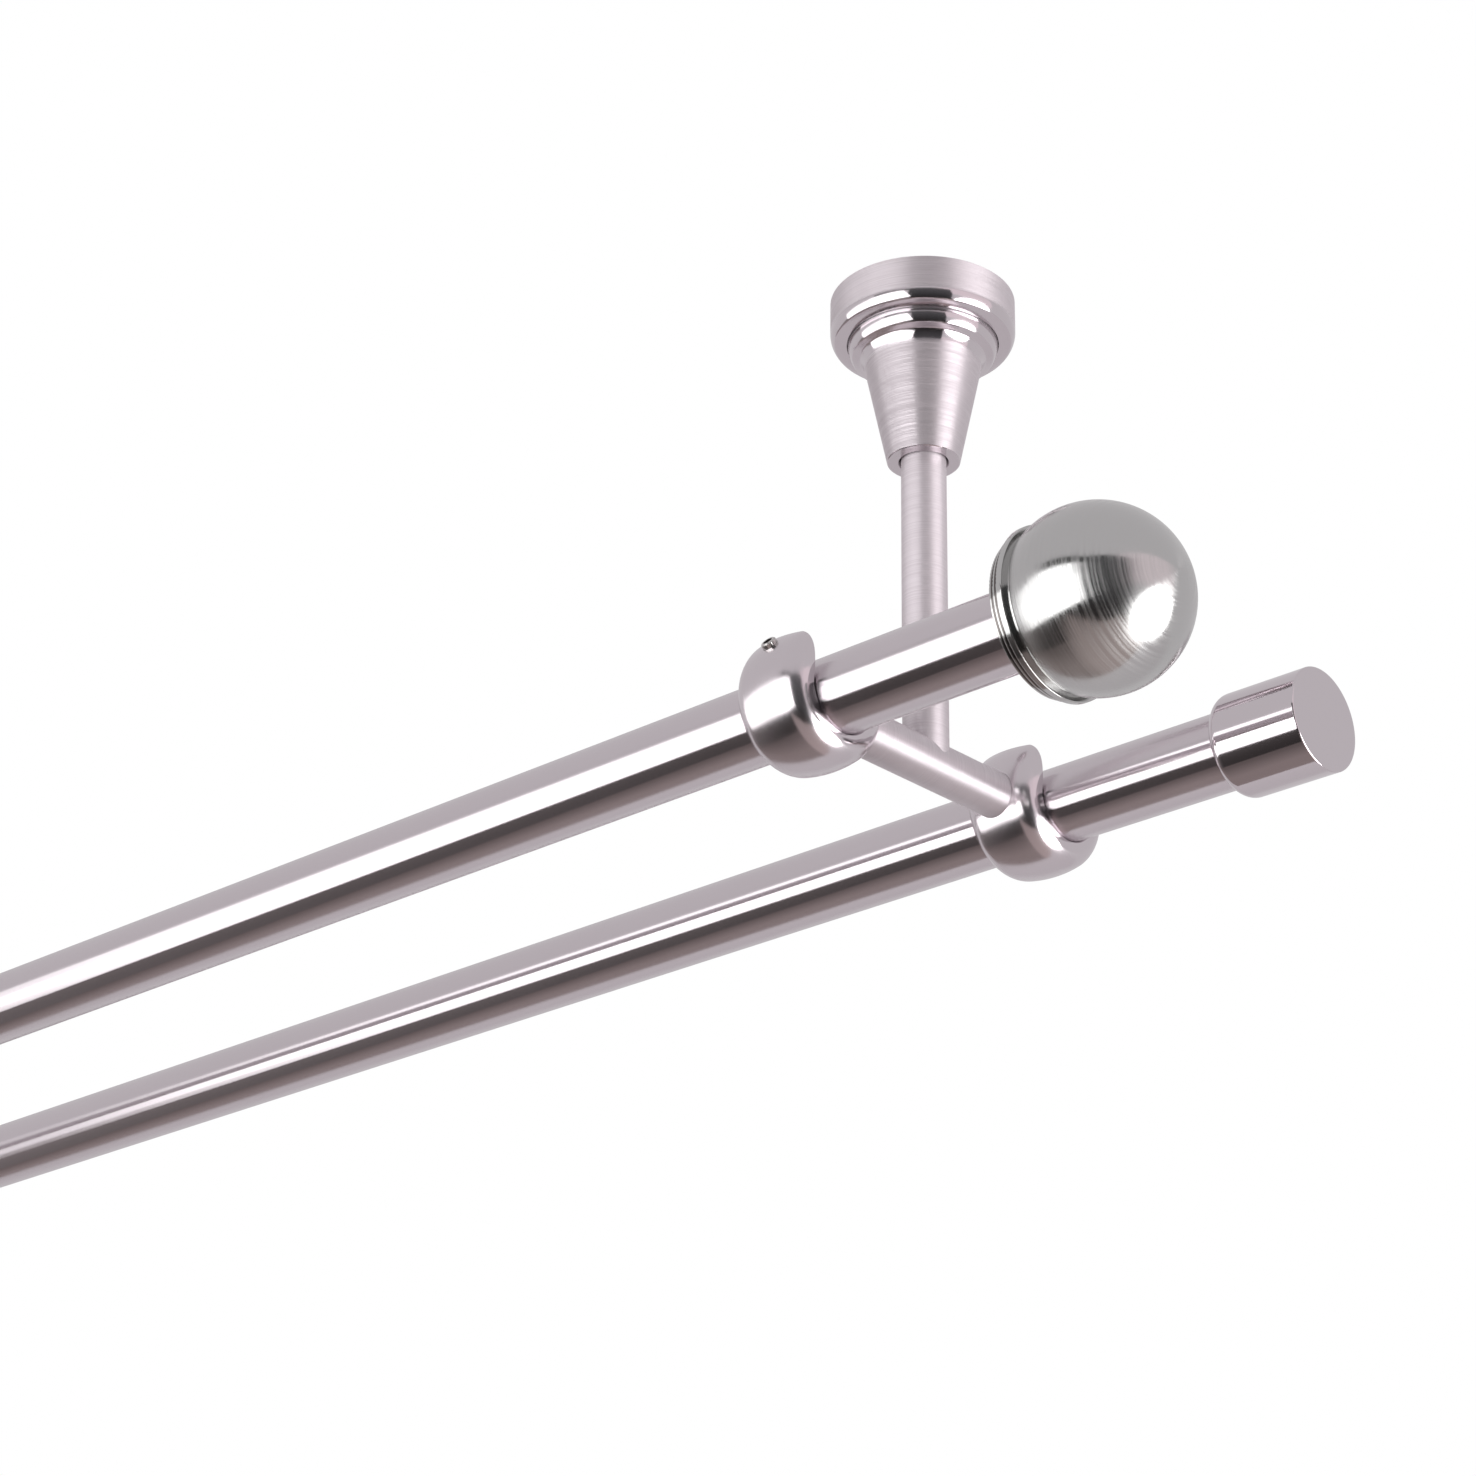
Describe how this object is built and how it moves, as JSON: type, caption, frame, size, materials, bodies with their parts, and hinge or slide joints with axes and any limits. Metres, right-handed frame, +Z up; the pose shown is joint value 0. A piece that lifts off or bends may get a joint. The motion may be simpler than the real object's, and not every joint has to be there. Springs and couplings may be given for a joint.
{
  "type": "double curtain pole",
  "caption": "Ceiling-mounted double curtain pole with turned brackets, open saddles, ball finials in front and plain end caps behind, in satin nickel.",
  "frame": {"origin": "middle of the right-hand bracket's ceiling face, where its plate meets the ceiling", "axes": "+X along the poles to the right-hand ends as seen from the room, -Y to the room, +Z up to the ceiling"},
  "size_m": [1.0696, 0.1272, 0.1555],
  "materials": {
    "nickel": "satin nickel plate",
    "ball_nickel": "satin nickel plate with fine turning lines",
    "screw_steel": "bright steel",
    "zinc_steel": "zinc plate",
    "plug_plastic": "moulded plastic"
  },
  "bodies": {
    "root": {"right_ceiling_plate": "zinc_steel", "right_rose": "nickel", "right_cone": "nickel", "right_stem": "nickel", "right_arm": "nickel", "right_arm_stud": "zinc_steel", "right_front_saddle": "nickel", "right_rear_saddle": "nickel", "right_front_screw": "screw_steel", "right_rear_screw": "screw_steel", "right_collar": "nickel", "right_ball": "ball_nickel", "right_finial_stud": "zinc_steel", "right_plug": "plug_plastic", "right_cap": "nickel", "right_cap_screw": "screw_steel", "left_ceiling_plate": "zinc_steel", "left_rose": "nickel", "left_cone": "nickel", "left_stem": "nickel", "left_arm": "nickel", "left_arm_stud": "zinc_steel", "left_front_saddle": "nickel", "left_rear_saddle": "nickel", "left_front_screw": "screw_steel", "left_rear_screw": "screw_steel", "left_collar": "nickel", "left_ball": "ball_nickel", "left_finial_stud": "zinc_steel", "left_plug": "plug_plastic", "left_cap": "nickel", "left_cap_screw": "screw_steel", "front_pole": "nickel", "rear_pole": "nickel"}
  },
  "joints": []
}
